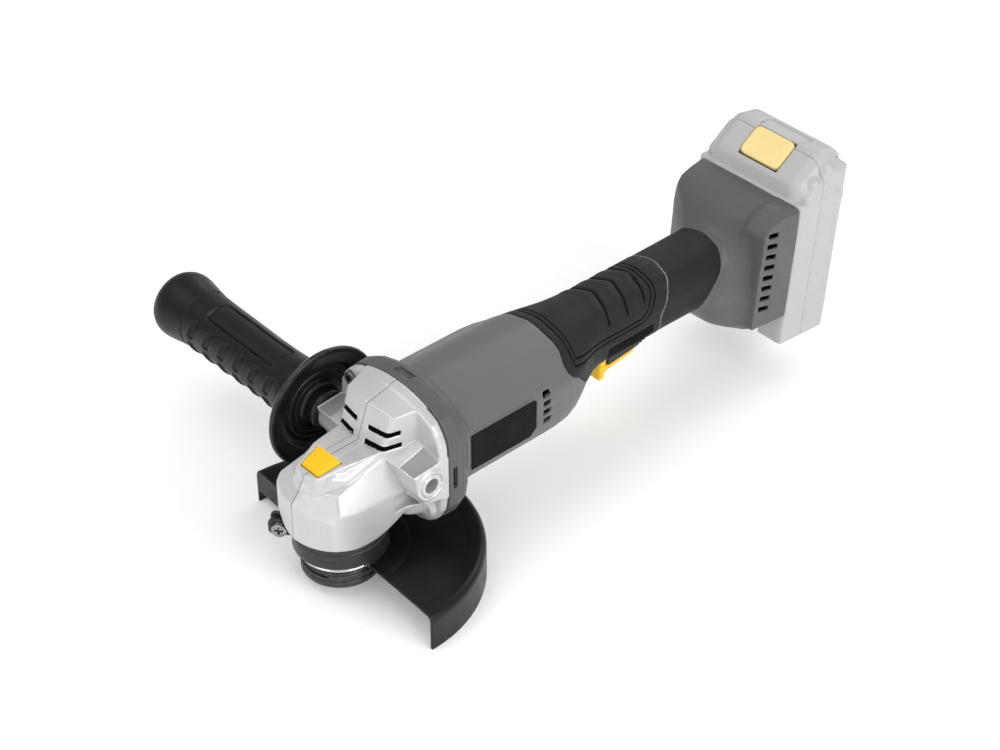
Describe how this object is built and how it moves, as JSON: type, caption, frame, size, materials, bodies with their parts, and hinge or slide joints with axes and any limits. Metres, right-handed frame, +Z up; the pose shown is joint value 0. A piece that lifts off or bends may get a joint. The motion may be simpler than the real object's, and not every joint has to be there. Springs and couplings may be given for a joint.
{
  "type": "angle grinder",
  "caption": "Cordless angle grinder with a cast gear head, adjustable disc guard, side handle, paddle trigger and slide-on battery pack.",
  "frame": {"origin": "on the output spindle axis, at the disc seat face of the inner flange", "axes": "+Y from the gear head to the battery, +Z up along the output spindle away from the disc, +X the side with the rating plate"},
  "size_m": [0.2419, 0.351, 0.1292],
  "materials": {
    "cast_alloy": "fine cast, satin",
    "screw_steel": "zinc black",
    "seal_rubber": "matt",
    "bearing_steel": "polished",
    "bronze": "sintered",
    "machined_steel": "turned",
    "blackened_steel": "blackened, turned",
    "yellow_plastic": "moulded, satin",
    "guard_paint": "powder coated, satin black",
    "collar_steel": "dark grey, satin",
    "fan_plastic": "moulded",
    "core_steel": "laminated",
    "copper": "varnished wire",
    "motor_steel": "plated",
    "ferrite": "sintered",
    "card_plastic": "laminate",
    "contact_brass": "plated",
    "carbon": "pressed carbon",
    "grey_plastic": "fine texture",
    "grip_rubber": "moulded over, matt",
    "label_film": "printed film",
    "black_plastic": "moulded",
    "circuit_board": "solder mask",
    "lead_insulation": "extruded",
    "pack_plastic": "fine texture, pale",
    "pale_yellow_plastic": "moulded, satin",
    "cell_wrap": "shrink film",
    "handle_rubber": "moulded, satin"
  },
  "bodies": {
    "tool": {"gear_housing": "cast_alloy", "bearing_cover": "cast_alloy", "head_screws": "screw_steel", "spindle_seal": "seal_rubber", "spindle_bearing_outer": "bearing_steel", "top_bush": "bronze", "lock_spring": "bearing_steel", "front_bearing_outer": "bearing_steel", "motor_can": "motor_steel", "magnets": "ferrite", "brush_card": "card_plastic", "brush_holders": "contact_brass", "brushes": "carbon", "brush_springs": "bearing_steel", "rear_bearing_outer": "bearing_steel", "bearing_frame": "fan_plastic", "baffle_ring": "grey_plastic", "motor_housing": "grey_plastic", "rubber_grip": "grip_rubber", "rear_sleeve": "grip_rubber", "battery_foot": "grey_plastic", "label_plate": "label_film", "trigger_pin": "bearing_steel", "switch_module": "black_plastic", "trigger_spring": "bearing_steel", "control_board": "circuit_board", "tool_contacts": "contact_brass", "motor_leads": "lead_insulation"},
    "spindle": {"spindle": "machined_steel", "spindle_bearing_inner": "bearing_steel", "crown_gear": "machined_steel", "gear_clip": "machined_steel", "inner_flange": "blackened_steel"},
    "rotor": {"motor_shaft": "machined_steel", "pinion": "machined_steel", "front_bearing_inner": "bearing_steel", "fan": "fan_plastic", "armature_core": "core_steel", "armature_windings": "copper", "commutator": "copper", "rear_bearing_inner": "bearing_steel"},
    "clamp_nut": {"clamp_nut": "blackened_steel"},
    "lock_button": {"spindle_lock_button": "yellow_plastic", "lock_pin": "bearing_steel"},
    "guard": {"guard_shell": "guard_paint", "guard_band": "collar_steel", "guard_screw": "screw_steel", "guard_screw_nut": "screw_steel"},
    "trigger": {"trigger_paddle": "black_plastic", "lever_pin": "bearing_steel"},
    "lock_off": {"lock_off_lever": "yellow_plastic"},
    "battery": {"battery_front_case": "pack_plastic", "battery_rear_case": "pack_plastic", "battery_cells": "cell_wrap", "battery_board": "circuit_board", "battery_terminals": "contact_brass"},
    "latch": {"battery_latch": "pale_yellow_plastic"},
    "side_handle": {"handle_stud": "bearing_steel", "handle_core": "black_plastic", "handle_grip": "handle_rubber"}
  },
  "joints": [
    {"name": "spindle_spin", "type": "hinge", "parent": "tool", "child": "spindle", "pos_m": [0, 0, 0], "axis": [0, 0, 1], "continuous": true},
    {"name": "rotor_spin", "type": "hinge", "parent": "tool", "child": "rotor", "pos_m": [0, 0.06, 0.054], "axis": [0, 1, 0], "continuous": true},
    {"name": "clamp_nut_off", "type": "slide", "parent": "spindle", "child": "clamp_nut", "axis": [0, 0, -1], "range_m": [0, 0.025]},
    {"name": "spindle_lock_press", "type": "slide", "parent": "tool", "child": "lock_button", "axis": [0, 0, -1], "range_m": [0, 0.003], "stiffness_N_per_m": 300, "springref_m": -0.002, "deforming": ["lock_spring"]},
    {"name": "guard_turn", "type": "hinge", "parent": "tool", "child": "guard", "pos_m": [0, 0, 0.014], "axis": [0, 0, 1], "range_deg": [-90, 90]},
    {"name": "trigger_squeeze", "type": "hinge", "parent": "tool", "child": "trigger", "pos_m": [0, 0.2075, 0.0465], "axis": [-1, 0, 0], "range_deg": [0, 7], "stiffness_Nm_per_rad": 1, "springref_deg": -5.73, "deforming": ["trigger_spring"]},
    {"name": "lock_off_swing", "type": "hinge", "parent": "trigger", "child": "lock_off", "pos_m": [0, 0.1775, 0.042], "axis": [-1, 0, 0], "range_deg": [0, 20], "stiffness_Nm_per_rad": 0.1, "springref_deg": -17.19},
    {"name": "battery_slide", "type": "slide", "parent": "tool", "child": "battery", "axis": [0, 0.0837, 0.9965], "range_m": [0, 0.08]},
    {"name": "latch_press", "type": "slide", "parent": "battery", "child": "latch", "axis": [0, 0.5795, -0.815], "range_m": [0, 0.0025], "stiffness_N_per_m": 400, "springref_m": -0.002},
    {"name": "side_handle_out", "type": "slide", "parent": "tool", "child": "side_handle", "axis": [-1, 0, 0], "range_m": [0, 0.04]}
  ],
  "couplings": [
    {"joint": "rotor_spin", "follows": "spindle_spin", "ratio": 3.5}
  ]
}
